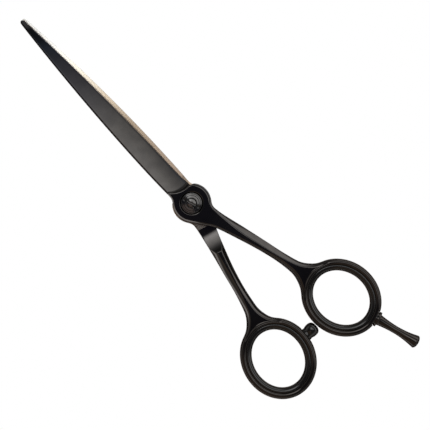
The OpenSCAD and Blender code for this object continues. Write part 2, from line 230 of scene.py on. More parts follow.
# Finger rest, along its axis from the middle of the finger ring
JOINTS = frame["record"]["behaviour"]["joints"]
REST_AXIS = next(joint["axis"] for joint in JOINTS if joint["name"] == "rest_unscrew")
REST_SEAT = 14.1
REST_SEAT_R = 3.2
REST_STOPS = (12.8, 14.47, 15.45)
REST_TIP_R = 0.5
REST_THREAD_R = 1.2
COLLAR_R = 2.8
REST_L = 15.2
REST_BASE_R = 2.0
REST_WAIST_R = 1.4
REST_WAIST_AT = 0.48
REST_END_R = 2.4
REST_DOME = 1.2
REST_FLARE_POWER = 1.9
REST_SHARES = (0.02, 1, 22)
DOME_START = radians(12)
DOME_END = radians(84)
DOME_STEPS = 7
THREAD_CHAMFER = 0.15
REST_ROUNDING = 0.1

# Bumper, with its stem in the thumb ring and its ball towards the finger ring
BUMPER_SEAT = 2.2
BUMPER_SEAT_R = 2.75
BUMPER_FOOT_R = 0.4
BUMPER_STEM_R = 1.1
BUMPER_NECK_R = 2.32
BUMPER_NECK = ((0, 0), (0.06, 0.35), (-0.05, 0.8))
BUMPER_EXTRA = 0.1
BUMPER_ROUNDING = 0.08
BALL_CENTRE = 2.7
BALL_SQUARENESS = 0.76
BALL_START = radians(-32)
BALL_STEPS = 14

# Tension dial and its lock screw
DIAL_BORE_R = 1.7
DIAL_HUB_R = 2.1
DIAL_GROOVE = 0.23
DIAL_WELL = 0.5
DIAL_RIM_DROP = 0.75
DIAL_FACE_R = 3.6
DIAL_WELL_R = 1.95
DIAL_FALL = 0.15
DIAL_RINGS = (3.25, 2.65)
DIAL_RING_W = 0.17
DIAL_RING_DEPTH = 0.02
DIAL_SKIRT_W = 0.08
DIAL_EDGE_CUT = 0.04
DIAL_WELL_CUT = 0.3
DIAL_BORE_SPLIT = 0.6
DIAL_FACE_STEPS = 32
DIAL_SIDES = 96
LOCK_R = radius_mm("lock_screw")
LOCK_HEAD_T = 0.45
LOCK_STEM_R = 0.75
LOCK_DOME = 0.16
LOCK_SLOT_HALF = 0.2
LOCK_SLOT_DEPTH = 0.3
LOCK_BLEND = 0.03
LOCK_SIDE_SHARE = 0.85
LOCK_TOP_STEPS = 6
LOCK_ROWS = 28
PIT_R = 0.45
PIT_FLAT = 0.6
PIT_DEPTH = 0.32
PIT_REACH = 0.1
PIT_PITCH_R = 2.75
PIT_ANGLE = 19

# Light by angle in degrees from straight overhead: in front (-Y), in the front corner towards
# the blades, and behind (+Y). Elsewhere it is dim, with a faint band low in the sky.
LIGHT_STRENGTH = 4.0
LIGHT_FRONT = (
    (0, (0.006, 0.006, 0.014)), (6, (0.016, 0.017, 0.022)), (9, 0.45),
    (12, (0.56, 0.55, 0.54)), (19, (0.54, 0.54, 0.53)), (24, (0.36, 0.36, 0.35)),
    (29.5, 0.21), (33, (0.13, 0.15, 0.18)), (38, (0.055, 0.06, 0.07)),
    (52, (0.055, 0.06, 0.065)), (60, (0.45, 0.45, 0.44)), (84, (0.42, 0.41, 0.4)),
    (92, (0.22, 0.21, 0.2)), (104, (0.08, 0.075, 0.07)), (120, (0.05, 0.045, 0.04)),
)
LIGHT_CORNER = (
    (0, (0.006, 0.006, 0.014)), (4.5, (0.016, 0.017, 0.022)), (7, 0.35), (10, 0.66), (14, 0.88),
    (18, (0.85, 0.85, 0.84)), (26, (0.64, 0.64, 0.63)), (34, (0.44, 0.44, 0.43)), (43, 0.22),
    (51, 0.07), (60, 0.012), (80, 0.1), (100, (0.05, 0.045, 0.04)),
)
LIGHT_BACK = (
    (0, (0.006, 0.006, 0.014)), (6, (0.016, 0.015, 0.016)), (9, (0.17, 0.14, 0.13)),
    (14, (0.16, 0.13, 0.12)), (20, (0.09, 0.065, 0.048)), (60, (0.085, 0.062, 0.045)),
    (70, (0.1, 0.085, 0.07)), (77, (0.05, 0.045, 0.04)), (84, (0.15, 0.14, 0.13)),
    (88, (0.62, 0.61, 0.6)), (93, (0.6, 0.58, 0.56)), (98, (0.12, 0.1, 0.09)),
    (112, (0.045, 0.035, 0.03)),
)
LIGHT_ELSEWHERE = (
    (0, (0.006, 0.006, 0.014)), (8, (0.016, 0.017, 0.022)), (20, (0.03, 0.03, 0.033)),
    (52, (0.035, 0.034, 0.034)), (66, (0.17, 0.165, 0.16)), (88, (0.19, 0.185, 0.18)),
    (100, (0.05, 0.045, 0.04)), (112, (0.02, 0.017, 0.015)),
)
# Shares of the front, corner and back light by compass angle in degrees
LIGHT_SHARES = (
    (-180, 0), (-146, 0), (-132, (1, 0, 0)), (-52, (1, 0, 0)), (-32, (0, 1, 0)),
    (-9, (0, 1, 0)), (0, 0), (48, 0), (66, (0, 0, 1)), (142, (0, 0, 1)), (160, 0),
)

# Floor, in metres: how far it reaches, and how far below the shears it lies
FLOOR_REACH = 3.0
FLOOR_DROP = 0.0002

# Camera, in millimetres and degrees: the point it looks at, its roll and the width it sees
CAMERA_TARGET = (-8.75, -3.25)
CAMERA_ROLL = -132.87
SEEN_WIDTH = 153.1
LENS = 200
SENSOR = 36

# Painted light and shade along the shears, from a blade's length behind the pivot (0) to the
# blades' tips (1): scales for the coat's colour, then the bare steel's colour with painted
# reflection in it
# The coat's colour is darkened at the rings and towards the tips, with a bluish cast near the
# tips: painted shade and painted reflection, not a change in the coating
COAT_PAINTED_LIGHT = (
    (0.0, (0.66, 0.63, 0.6)), (0.22, (0.66, 0.63, 0.6)), (0.27, 1.0), (0.5, 1.0), (0.65, 0.93),
    (0.71, 0.82), (0.8, (0.53, 0.54, 0.6)), (0.85, (0.39, 0.4, 0.49)),
    (0.9, (0.34, 0.38, 0.49)), (0.94, (0.37, 0.43, 0.51)), (0.98, (0.22, 0.23, 0.26)),
)
# The bare steel's colour is dark behind the pivot, warm at the heel and near white at the tips:
# painted reflection over the steel's own tone
STEEL_TONE_AND_PAINTED_REFLECTION = (
    (0.0, (0.14, 0.128, 0.118)), (0.49, (0.14, 0.128, 0.118)), (0.53, (0.43, 0.34, 0.26)),
    (0.556, (0.35, 0.27, 0.21)), (0.7, (0.38, 0.3, 0.22)), (0.775, (0.62, 0.52, 0.4)),
    (0.85, (0.9, 0.84, 0.72)), (0.92, (0.97, 0.95, 0.9)), (1.0, (0.97, 0.96, 0.92)),
)

# Where a rim's points stand between its crest (0) and its outer edge (1), the shoulder at
# which its bevel bends, and where its points stand down the wall
BEVEL_STOPS = (0, 0.07, 0.35, 0.65, 0.93, 1)
SHOULDER = 0.65
WALL_STOPS = (0.12, 0.5, 0.88)

# Points closer than this are welded
WELD = 0.004

# Material slots of a half, and the sockets of a mix node that are colours
COAT, BARE = 0, 1
COLOUR_A, COLOUR_B, COLOUR_OUT = 6, 7, 2

Half = namedtuple("Half", "boss spine edge angle shank ring ring_turn bore")
Rim = namedtuple(
    "Rim", "edge top top_z top_edge_z low low_z low_edge_z roundness facet", defaults=(0, SHOULDER)
)


# ----- Small helpers -----

def mix(a, b, t):
    return a + (b - a) * t


def ease(t):
    t = min(max(t, 0), 1)
    return t * t * (3 - 2 * t)


def steps(start, end, count):
    return [mix(start, end, i / count) for i in range(count + 1)]


def flat(x, y):
    return Vector((x, y))


def solid(point, z):
    return Vector((point[0], point[1], z))


def turned(x, y, angle):
    along, across = cos(angle), sin(angle)
    return flat(x * along - y * across, x * across + y * along)


def circle(radius, z, angles):
    return [Vector((radius * cos(a), radius * sin(a), z)) for a in angles]


def resampled(points, count):
    """Points at equal steps along a row of points."""
    travelled = [0]
    for a, b in zip(points, points[1:]):
        travelled.append(travelled[-1] + (b - a).length)
    result = []
    k = 0
    for target in steps(0, travelled[-1], count):
        while k < len(points) - 2 and travelled[k + 1] < target:
            k += 1
        span = travelled[k + 1] - travelled[k]
        result.append(points[k].lerp(points[k + 1], (target - travelled[k]) / span))
    return result


def relaxed(points, passes):
    """The same row with its corners rounded. Its two ends stay."""
    for _ in range(passes):
        inner = [(a + 2 * b + c) / 4 for a, b, c in zip(points, points[1:], points[2:])]
        points = [points[0]] + inner + [points[-1]]
    return points


def inward(points, i, towards):
    """Unit normal of a row of points at i, on the side of the point `towards`."""
    along = points[min(i + 1, len(points) - 1)] - points[max(i - 1, 0)]
    normal = flat(-along.y, along.x).normalized()
    return normal if normal.dot(towards - points[i]) > 0 else -normal


# ----- Skins made of quad grids -----

class Skin:
    """Quad grids that share their borders and are welded into one closed surface."""

    def __init__(self):
        self.points = []
        self.faces = []
        self.slots = []

    def grid(self, rows, slot=COAT, closed=False):
        start = len(self.points)
        width = len(rows[0])
        for row in rows:
            self.points.extend(row)
        for i in range(len(rows) - 1):
            for j in range(width if closed else width - 1):
                a = start + i * width + j
                b = start + i * width + (j + 1) % width
                self.faces.append((a, b, b + width, a + width))
                self.slots.append(slot)

    def build(self, name, to_world):
        mesh = bpy.data.meshes.new(name)
        mesh.from_pydata(self.points, [], self.faces)
        mesh.polygons.foreach_set("material_index", self.slots)
        work = bmesh.new()
        work.from_mesh(mesh)
        bmesh.ops.remove_doubles(work, verts=work.verts, dist=WELD)
        bmesh.ops.recalc_face_normals(work, faces=work.faces)
        for vertex in work.verts:
            vertex.co = to_world(vertex.co)
        work.to_mesh(mesh)
        work.free()
        mesh.polygons.foreach_set("use_smooth", [True] * len(mesh.polygons))
        piece = bpy.data.objects.new(name, mesh)
        bpy.context.scene.collection.objects.link(piece)
        return piece


def subdivided(piece, levels):
    """Bakes a subdivision surface into the piece's mesh."""
    modifier = piece.modifiers.new("smooth", "SUBSURF")
    modifier.levels = levels
    graph = bpy.context.evaluated_depsgraph_get()
    mesh = bpy.data.meshes.new_from_object(piece.evaluated_get(graph))
    piece.modifiers.clear()
    piece.data = mesh
    return piece


def place_finger(point):
    return Vector((point.x, point.y, point.z + BOSS_T)) * MM


def place_thumb(point):
    return Vector((point.x, -point.y, BOSS_T - point.z)) * MM


# ----- Rims: the band that runs round a half's outline -----

def bevel_point(edge, crest, crest_z, edge_z, roundness, facet, f):
    """A point at f of a bevel's width. facet is the share of its height lost by the shoulder."""
    a = (1 - f) * pi / 2
    drop = facet * f / SHOULDER if f < SHOULDER else mix(facet, 1, (f - SHOULDER) / (1 - SHOULDER))
    out = mix(f, max(cos(a), 0) ** RING_SQUARENESS, roundness)
    up = mix(1 - drop, sin(a) ** RING_SQUARENESS, roundness)
    return solid(crest.lerp(edge, out), mix(edge_z, crest_z, up))


def rim_section(r):
    top = [
        bevel_point(r.edge, r.top, r.top_z, r.top_edge_z, r.roundness, r.facet, f)
        for f in BEVEL_STOPS
    ]
    wall = [solid(r.edge, mix(r.top_edge_z, r.low_edge_z, f)) for f in WALL_STOPS]
    low = [
        bevel_point(r.edge, r.low, r.low_z, r.low_edge_z, r.roundness, SHOULDER, f)
        for f in reversed(BEVEL_STOPS)
    ]
    return top + wall + low


def bevel_width(rim):
    return (rim.top - rim.edge).length


def low_bevel_width(rim):
    return (rim.low - rim.edge).length


def add_rims(skin, rims, bare=0):
    """Lays a band of rims. The inner side of the first `bare` spans is ground steel."""
    sections = [rim_section(r) for r in rims]
    split = len(BEVEL_STOPS) + len(WALL_STOPS)
    skin.grid([section[:split + 1] for section in sections])
    for part, slot in ((sections[:bare + 1], BARE), (sections[bare:], COAT)):
        if len(part) > 1:
            skin.grid([section[split:] for section in part], slot=slot)


# ----- Blade -----

def outline_y(shape, x):
    widest, tip, start, power = shape
    t = max(0, (x - start) / (BLADE_L - start))
    return widest - (widest - tip) * t ** power


def tip_share(x):
    t = max(0, (x - BLADE_L + TIP_ROUND) / TIP_ROUND)
    return sqrt(max(0, 1 - t * t))


def blade_sides(half, x):
    """y of the spine, the spine bevel's crest, the edge bevel's crest and the cutting edge."""
    spine = outline_y(half.spine, x) - SPINE_DIP * exp(-max(0, x - HEEL_X) / SPINE_DIP_L)
    edge = -outline_y(half.edge, x) - HEEL_FLARE * exp(-max(0, x - HEEL_X) / HEEL_FLARE_L)
    centre = (spine + edge) / 2
    share = tip_share(x)
    sides = (spine, spine - SPINE_BEVEL, edge + EDGE_BEVEL, edge)
    return [mix(centre, y, share) for y in sides]


def blade_thick(x):
    return mix(HEEL_T, TIP_T, x / BLADE_L) * mix(TIP_THIN, 1, tip_share(x))


def edge_land(x):
    return EDGE_LAND * mix(TIP_THIN, 1, tip_share(x))


def face_z(x, t):
    """Height of the blade's outer face at x, with t from 0 at the spine to 1 at the edge."""
    low = EDGE_BEVEL_Z * blade_thick(x) / HEEL_T + edge_land(x)
    width = HEEL_WIDTH * (1 - x / BLADE_L)
    return mix(blade_thick(x), low, t) + FACE_BULGE * width ** 2 * 4 * t * (1 - t)


def ridge_x(y):
    return GRIND_X - sqrt(max(0, GRIND_R ** 2 - (y - GRIND_Y) ** 2))


def scoop_x(y, t, stop):
    """x of the scoop beside the heel's ridge, with stop from 0 on the ridge to 1 on the face."""
    x = ridge_x(y)
    return x + RIDGE_LAND + stop * (SCOOP_MIN + SCOOP_SLOPE * (BOSS_T - face_z(x, t)))


def blade_stations():
    """Each station is a function that gives x at (y, t), and its share of the heel's height."""
    stations = [(lambda y, t: ridge_x(y), 1)]
    for stop in SCOOP_STOPS:
        share = max(0, 1 - stop) ** 2 * (1 - RIDGE_LAND_DROP)
        stations.append((lambda y, t, stop=stop: scoop_x(y, t, stop), share))
    for k in range(1, FAN_STEPS):
        fan = k / FAN_STEPS
        stations.append(
            (lambda y, t, fan=fan: mix(scoop_x(y, t, SCOOP_STOPS[-1]), FAN_END_X, fan), 0)
        )
    straight = steps(FAN_END_X, BLADE_L - TIP_ROUND, round((BLADE_L - FAN_END_X) / BLADE_STEP))
    rounded = [BLADE_L - TIP_ROUND + TIP_ROUND * sin(radians(a)) for a in TIP_ANGLES]
    for x in straight + rounded:
        stations.append((lambda y, t, x=x: x, 0))
    return stations


def blade_row(half, station):
    """The top row, the bottom row and the two rims of a blade station, from spine to edge."""
    x_at, heel = station
    top, xs = [], []
    _, spine_crest, edge_crest, _ = blade_sides(half, HEEL_X)
    for j in range(BLADE_COLUMNS + 1):
        t = j / BLADE_COLUMNS
        x = x_at(mix(spine_crest, edge_crest, t), t)
        _, crest, low_crest, _ = blade_sides(half, x)
        xs.append(x)
        top.append(Vector((x, mix(crest, low_crest, t), mix(face_z(x, t), BOSS_T, heel))))

    x = xs[0]
    spine, crest, _, _ = blade_sides(half, x)
    share = tip_share(x)
    narrows, narrow = INNER_BEVEL_NARROWS
    bevel = mix(INNER_BEVEL, INNER_BEVEL / 2, ease((x - narrows) / (narrow - narrows))) * share
    spine_rim = Rim(
        edge=flat(x, spine),
        top=flat(x, crest),
        top_z=top[0].z,
        top_edge_z=mix(blade_thick(x) - SPINE_BEVEL_DROP * share, BOSS_T - BOSS_CHAMFER, heel),
        low=flat(x, spine - bevel),
        low_z=GAP_Z,
        low_edge_z=GAP_Z + mix(INNER_BEVEL_Z, INNER_CHAMFER_Z, heel),
    )
    x = xs[-1]
    _, _, crest, edge = blade_sides(half, x)
    share = tip_share(x)
    edge_rim = Rim(
        edge=flat(x, edge),
        top=flat(x, crest),
        top_z=top[-1].z,
        top_edge_z=mix(edge_land(x), BOSS_T - BOSS_CHAMFER, heel),
        low=flat(x, edge + mix(KNIFE_BEVEL, INNER_CHAMFER, heel) * share),
        low_z=GAP_Z,
        low_edge_z=GAP_Z + mix(KNIFE_BEVEL / 2, INNER_CHAMFER_Z, heel),
    )
    low = []
    for j in range(BLADE_COLUMNS + 1):
        t = j / BLADE_COLUMNS
        y = mix(spine_rim.low.y, edge_rim.low.y, t)
        depth = HOLLOW * sin(pi * t) * (1 - heel) * tip_share(xs[j])
        low.append(Vector((xs[j], y, GAP_Z + depth)))
    return top, low, spine_rim, edge_rim


def add_blade(skin, half):
    rows = [blade_row(half, station) for station in blade_stations()]
    tops, lows, spine_rims, edge_rims = zip(*rows)
    skin.grid(tops)
    skin.grid(lows, slot=BARE)
    add_rims(skin, spine_rims, bare=len(rows))
    add_rims(skin, edge_rims, bare=len(rows))
    top, low, spine_rim, edge_rim = rows[-1]
    spine_wall, edge_wall = rim_section(spine_rim), rim_section(edge_rim)
    cap = [
        [a.lerp(b, t) for t in steps(0, 1, BLADE_COLUMNS)]
        for a, b in zip(spine_wall, edge_wall)
    ]
    cap[0], cap[-1] = top, low
    skin.grid(cap)
    return rows[0]


# ----- Shank -----

def smooth_step(a, b, c, d, t):
    """A Catmull-Rom spline between b and c."""
    square, cube = 2 * a - 5 * b + 4 * c - d, 3 * b - a - 3 * c + d
    return 0.5 * (2 * b + (c - a) * t + square * t ** 2 + cube * t ** 3)


def smooth_rows(rows):
    last = len(rows) - 1
    result = []
    for i in range(last):
        four = (rows[max(i - 1, 0)], rows[i], rows[i + 1], rows[min(i + 2, last)])
        for k in range(SMOOTH_STEPS):
            result.append([smooth_step(*values, k / SMOOTH_STEPS) for values in zip(*four)])
    return result + [list(rows[last])]


def shank_at(half, s):
    """Upper edge, lower edge, crown's edges and half thickness at a distance along the shank."""
    rows = half.shank
    k = 0
    while k < len(rows) - 2 and rows[k + 1][0] < s:
        k += 1
    t = (s - rows[k][0]) / (rows[k + 1][0] - rows[k][0])
    return [mix(a, b, t) for a, b in zip(rows[k], rows[k + 1])][1:]


def shank_point(half, s, v):
    return turned(-s, v, half.angle)


def relief_z(s):
    """Height of the concave surface that is scooped out of the shank's inner side."""
    t = max(0, s - RELIEF_START) / RELIEF_R
    return GAP_Z - RELIEF_R * (1 - sqrt(max(0, 1 - t * t)))


def relief_end(half):
    s = RELIEF_START
    while relief_z(s) > -shank_at(half, s)[4]:
        s += RELIEF_SEARCH_STEP
    return s


def shank_row(half, s):
    """The crown's row, the underside's row and the two rims at a distance along the shank."""
    upper, lower, crown_up, crown_low, z = shank_at(half, s)
    low_z = max(-z, relief_z(s))
    rims = []
    for side, crown in ((upper, crown_up), (lower, crown_low)):
        width = side - crown
        facet_drop = FACET_SLOPE * SHOULDER * abs(width)
        edge_z = max(SIDE_Z, z - facet_drop - FACET_STEEP * (1 - SHOULDER) * abs(width))
        share = min(max((-edge_z - low_z) / (z - edge_z), RELIEF_BEVEL / abs(width)), 1)
        if s < RELIEF_START:
            fade = ease((s - SHANK_START) / CHAMFER_FADE_L)
            share = mix(INNER_CHAMFER, RELIEF_BEVEL, fade) / abs(width)
        rim = Rim(
            edge=shank_point(half, s, side),
            top=shank_point(half, s, crown),
            top_z=z,
            top_edge_z=edge_z,
            low=shank_point(half, s, side - width * share),
            low_z=low_z,
            low_edge_z=max(-edge_z, low_z + RELIEF_BEVEL),
            roundness=FACET_ROUNDNESS * ease((s - SHANK_START) / FACET_FADE_L),
            facet=facet_drop / (z - edge_z),
        )
        rims.append(rim)
    columns = steps(0, 1, CROWN_COLUMNS)
    top = [solid(rims[0].top.lerp(rims[1].top, t), z) for t in columns]
    low = [solid(rims[0].low.lerp(rims[1].low, t), low_z) for t in columns]
    return top, low, rims[0], rims[1]


def add_shank(skin, half):
    end = relief_end(half)
    distances = steps(SHANK_START, RELIEF_START, SHANK_FLAT_STEPS)
    distances += steps(RELIEF_START, end - RELIEF_END_GAP, RELIEF_STEPS)[1:]
    distances += [end, end + RELIEF_END_GAP]
    rest = steps(end + RELIEF_END_GAP, SHANK_END, round((SHANK_END - end) / SHANK_STEP))
    distances += rest[1:]
    rows = [shank_row(half, s) for s in distances]
    tops, lows, upper_rims, lower_rims = zip(*rows)
    skin.grid(tops)
    skin.grid(lows[:SHANK_BARE_STEPS + 1], slot=BARE)
    skin.grid(lows[SHANK_BARE_STEPS:])
    add_rims(skin, upper_rims, bare=SHANK_BARE_STEPS)
    add_rims(skin, lower_rims, bare=SHANK_BARE_STEPS)
    return rows[0], rows[-1]


# ----- Boss -----

def boss_rims(half, side, shank_rim, blade_rim, count):
    """Rims round one side of the boss, from shank to blade. side is 1 on the spine's side."""
    centre = flat(*half.boss)

    def outside(point):
        return (point - centre).length > BOSS_R

    def angle(point):
        offset = point - centre
        return atan2(offset.y, offset.x)

    def shank_edge(s):
        return shank_point(half, s, shank_at(half, s)[0 if side > 0 else 1])

    def blade_edge(x):
        return flat(x, blade_sides(half, x)[0 if side > 0 else 3])

    distances = steps(SHANK_START, BOSS_SHANK_S, BOSS_SEARCH_STEPS)
    start = list(filter(outside, map(shank_edge, distances)))
    places = steps(BOSS_BLADE_X, blade_rim.edge.x, BOSS_SEARCH_STEPS)[:-1]
    end = list(filter(outside, map(blade_edge, places))) + [blade_rim.edge]
    angles = steps(angle(start[-1]), angle(end[0]), BOSS_ARC_STEPS)[1:-1]
    arc = [centre + BOSS_R * flat(cos(a), sin(a)) for a in angles]
    path = relaxed(resampled(start + arc + end, count), BOSS_RELAX)
    chamfer = BOSS_CHAMFER if side > 0 else BOSS_EDGE_CHAMFER
    edge_roundness = 0 if side > 0 else BOSS_EDGE_ROUNDNESS
    rims = [shank_rim]
    for i in range(1, count):
        normal = inward(path, i, centre)
        from_shank = ease(i / BOSS_FROM_SHANK)
        to_blade = ease((i - count + BOSS_TO_BLADE) / BOSS_TO_BLADE)

        def blend(first, middle, last):
            return mix(mix(first, middle, from_shank), last, to_blade)

        width = blend(bevel_width(shank_rim), chamfer, bevel_width(blade_rim))
        low_width = blend(low_bevel_width(shank_rim), INNER_CHAMFER, low_bevel_width(blade_rim))
        low_edge_z = blend(shank_rim.low_edge_z, GAP_Z + INNER_CHAMFER_Z, blade_rim.low_edge_z)
        rim = Rim(
            edge=path[i],
            top=path[i] + width * normal,
            top_z=BOSS_T,
            top_edge_z=mix(shank_rim.top_edge_z, blade_rim.top_edge_z, from_shank),
            low=path[i] + low_width * normal,
            low_z=GAP_Z,
            low_edge_z=low_edge_z,
            roundness=edge_roundness * min(from_shank, 1 - to_blade),
            facet=mix(shank_rim.facet, SHOULDER, from_shank),
        )
        rims.append(rim)
    return rims + [blade_rim]


def bore(seat, neck, floor):
    """Radius and height down a half's bore: the outer seat, the neck and the race's recess."""
    race, roof, cut = RACE_R + FIT, RACE_OUT_Z + GAP_Z, BORE_CHAMFER
    return (
        (seat + cut, BOSS_T), (seat, BOSS_T - cut), (seat, floor + cut), (seat - cut, floor),
        (neck + cut, floor), (neck, floor - cut), (neck, roof + cut), (neck + cut, roof),
        (race - cut, roof), (race, roof - cut), (race, GAP_Z + cut), (race + RACE_LIP, GAP_Z),
    )


def plate(inner, outer):
    return [[a.lerp(b, t) for a, b in zip(inner, outer)] for t in PLATE_STOPS]


def add_boss(skin, half, shank, blade):
    upper = boss_rims(half, 1, shank[2], blade[2], BOSS_UPPER)
    lower = boss_rims(half, -1, shank[3], blade[3], BOSS_LOWER)
    add_rims(skin, upper, bare=len(upper))
    add_rims(skin, lower, bare=len(lower))

    top_loop = [solid(r.top, BOSS_T) for r in upper] + blade[0][1:]
    top_loop += [solid(r.top, BOSS_T) for r in reversed(lower)][1:] + shank[0][-2:0:-1]
    low_loop = [solid(r.low, GAP_Z) for r in upper] + blade[1][1:]
    low_loop += [solid(r.low, GAP_Z) for r in reversed(lower)][1:] + shank[1][-2:0:-1]

    angles = [atan2(p.y, p.x) for p in top_loop]
    circles = [circle(r, z, angles) for r, z in half.bore]
    skin.grid(plate(circles[0], top_loop), closed=True)
    skin.grid(circles, closed=True)
    skin.grid(plate(circles[-1], low_loop), slot=BARE, closed=True)


# ----- Rings -----

def ring_point(half, a, out):
    """A point at a distance outside the finger hole's oval, at angle a round it."""
    normal = flat(HOLE_SHORT * cos(a), HOLE_LONG * sin(a)).normalized()
    point = flat(HOLE_LONG * cos(a), HOLE_SHORT * sin(a)) + out * normal
    return turned(point.x, point.y, half.ring_turn) + half.ring


def ring_angle(half, point):
    """The angle round the ring at which its outer edge is nearest to a point."""
    angles = [radians(a / 2) for a in range(-180, 180)]
    return min(angles, key=lambda a: (ring_point(half, a, BAND_W) - point).length)


def ring_rim(half, a):
    crest = ring_point(half, a, BAND_W - RING_HALF_W)
    return Rim(
        edge=ring_point(half, a, BAND_W),
        top=crest,
        top_z=RING_T,
        top_edge_z=RING_EDGE_Z,
        low=crest,
        low_z=-RING_T,
        low_edge_z=-RING_EDGE_Z,
        roundness=1,
    )


def ring_inner_section(half, a):
    """Points from the ring's top crest, down behind the insert, to its underside."""
    reach = (BAND_W - RING_HALF_W - INSERT_W - GAP_Z) / RING_HALF_W
    last = asin(reach ** (1 / RING_SQUARENESS))
    top = []
    for lean in steps(0, last, RING_INNER_STEPS):
        out = BAND_W - RING_HALF_W * (1 + sin(lean) ** RING_SQUARENESS)
        top.append(solid(ring_point(half, a, out), RING_T * cos(lean) ** RING_SQUARENESS))
    wall = [Vector((top[-1].x, top[-1].y, top[-1].z * share)) for share in RING_WALL_SHARES]
    low = [Vector((p.x, p.y, -p.z)) for p in reversed(top)]
    return top + wall + low


def web_rims(half, side, shank_rim):
    """Rims from the shank's end onto the ring, and the angle at which they join the ring."""
    path = []
    s = SHANK_END
    while True:
        point = shank_point(half, s, shank_at(half, s)[0 if side > 0 else 1])
        angle = ring_angle(half, point)
        if (point - half.ring).length < (ring_point(half, angle, BAND_W) - half.ring).length:
            break
        path.append(point)
        s += WEB_SEARCH_STEP
    join = angle + side * WEB_OVERLAP
    path += [ring_point(half, a, BAND_W) for a in steps(angle, join, WEB_ARC_STEPS)[1:]]
    path = relaxed(resampled(path, WEB_STEPS), WEB_RELAX)
    end = ring_rim(half, join)
    web_centre = ring_point(half, 0, BAND_W / 2)
    rims = [shank_rim]
    for k in range(1, WEB_STEPS):
        t = ease(k / WEB_STEPS)
        width = mix(bevel_width(shank_rim), RING_HALF_W, t)
        crest = path[k] + width * inward(path, k, web_centre)
        top_z = shank_rim.top_z
        edge_z = mix(shank_rim.top_edge_z, RING_EDGE_Z, t)
        roundness = mix(shank_rim.roundness, 1, t)
        facet = mix(shank_rim.facet, SHOULDER, t)
        rims.append(Rim(path[k], crest, top_z, edge_z, crest, -top_z, -edge_z, roundness, facet))
    return rims + [end], join


def patch(first, last, left, right):
    """A smooth grid between four border rows: a Coons patch."""
    rows = []
    high, wide = len(left) - 1, len(first) - 1
    for i in range(high + 1):
        u = i / high
        row = []
        for j in range(wide + 1):
            v = j / wide
            sides = left[i].lerp(right[i], v) + first[j].lerp(last[j], u)
            corners = first[0].lerp(first[-1], v).lerp(last[0].lerp(last[-1], v), u)
            row.append(sides - corners)
        rows.append(row)
    return rows


def add_ring(skin, half, shank):
    crown, underside, upper_rim, lower_rim = shank
    upper, upper_join = web_rims(half, 1, upper_rim)
    lower, lower_join = web_rims(half, -1, lower_rim)
    skin.grid([rim_section(r) for r in upper])
    skin.grid([rim_section(r) for r in lower])

    near = steps(upper_join, lower_join, CROWN_COLUMNS)
    far = steps(upper_join, lower_join + 2 * pi, RING_FAR_STEPS)
    skin.grid([rim_section(ring_rim(half, a)) for a in far])
    skin.grid([ring_inner_section(half, a) for a in near])
    skin.grid([ring_inner_section(half, a) for a in far])

    borders = ([ring_rim(half, a) for a in near], upper, lower)
    skin.grid(patch(crown, *([solid(r.top, r.top_z) for r in rims] for rims in borders)))
    skin.grid(patch(underside, *([solid(r.low, r.low_z) for r in rims] for rims in borders)))


# ----- The two halves -----

FINGER = Half(
    boss=(0.05, -0.32),
    spine=FINGER_SPINE,
    edge=FINGER_EDGE,
    angle=radians(14.7),
    shank=smooth_rows(FINGER_SHANK),
    ring=flat(FINGER_RING.x, FINGER_RING.y),
    ring_turn=radians(9.2),
    bore=bore(DIAL_R + FIT, BUSH_R + GAP_Z, GLIDE_LOW_Z - GAP_Z),
)
THUMB = Half(
    boss=(-0.15, -0.25),
    spine=THUMB_SPINE,
    edge=THUMB_EDGE,
    angle=radians(13.9),
    shank=smooth_rows(THUMB_SHANK),
    ring=flat(THUMB_RING.x, -THUMB_RING.y),
    ring_turn=radians(11.9),
    bore=bore(STUD_HEAD_R + FIT, THUMB_NECK_R, STUD_HEAD_FLOOR),
)


def flatten(piece, centre, along, radius, stop):
    """Presses the part of a skin near an axis flat, so that a fitting can sit on it."""
    centre, along = Vector(centre) * MM, Vector(along)
    radius, stop = radius * MM, stop * MM
    for vertex in piece.data.vertices:
        offset = vertex.co - centre
        travelled = offset.dot(along)
        if travelled > stop and (offset - travelled * along).length < radius:
            vertex.co -= (travelled - stop) * along


def make_half(name, half, to_world):
    skin = Skin()
    blade = add_blade(skin, half)
    shank_near, shank_far = add_shank(skin, half)
    add_boss(skin, half, shank_near, blade)
    add_ring(skin, half, shank_far)
    return subdivided(skin.build(name, to_world), 1)


# ----- Soft inserts in the rings -----

def insert_section():
    """Points round the insert's section, as (distance out from the hole, height)."""
    crown = []
    for a in steps(-pi / 2, pi / 2, INSERT_POINTS)[1:-1]:
        across = mix(INSERT_CREST, INSERT_INNER, cos(a) ** INSERT_SQUARENESS)
        up = copysign(abs(sin(a)) ** INSERT_SQUARENESS, a)
        crown.append((across, INSERT_T * up))
    top = [(INSERT_CREST, INSERT_T)]
    top += [(INSERT_W - inset, INSERT_T * share) for inset, share in INSERT_SHOULDER]
    low = [(out, -z) for out, z in reversed(top)]
    return crown + top + low


def make_insert(name, half, to_world):
    section = insert_section()
    rows = []
    for i in range(INSERT_STATIONS):
        a = 2 * pi * i / INSERT_STATIONS
        rows.append([solid(ring_point(half, a, out), z) for out, z in section])
    loops = list(zip(*rows))
    skin = Skin()
    skin.grid(loops + [loops[0]], closed=True)
    return subdivided(skin.build(name, to_world), 1)


# ----- Turned fittings -----

def softened(profile, radius):
    """A profile with every inner corner cut into two close points, so that it rounds evenly."""
    result = [profile[0]]
    for before, corner, after in zip(profile, profile[1:], profile[2:]):
        for other in (before, after):
            reach = flat(*other) - flat(*corner)
            cut = min(radius, reach.length / 3)
            result.append(tuple(flat(*corner) + reach.normalized() * cut))
    return result + [profile[-1]]


def lathe(name, profile, sides, to_world):
    """A turned piece from points of (radius, distance along the axis)."""
    angles = [2 * pi * i / sides for i in range(sides)]
    skin = Skin()
    skin.grid([circle(r, z, angles) for r, z in profile], closed=True)
    return subdivided(skin.build(name, to_world), 1)


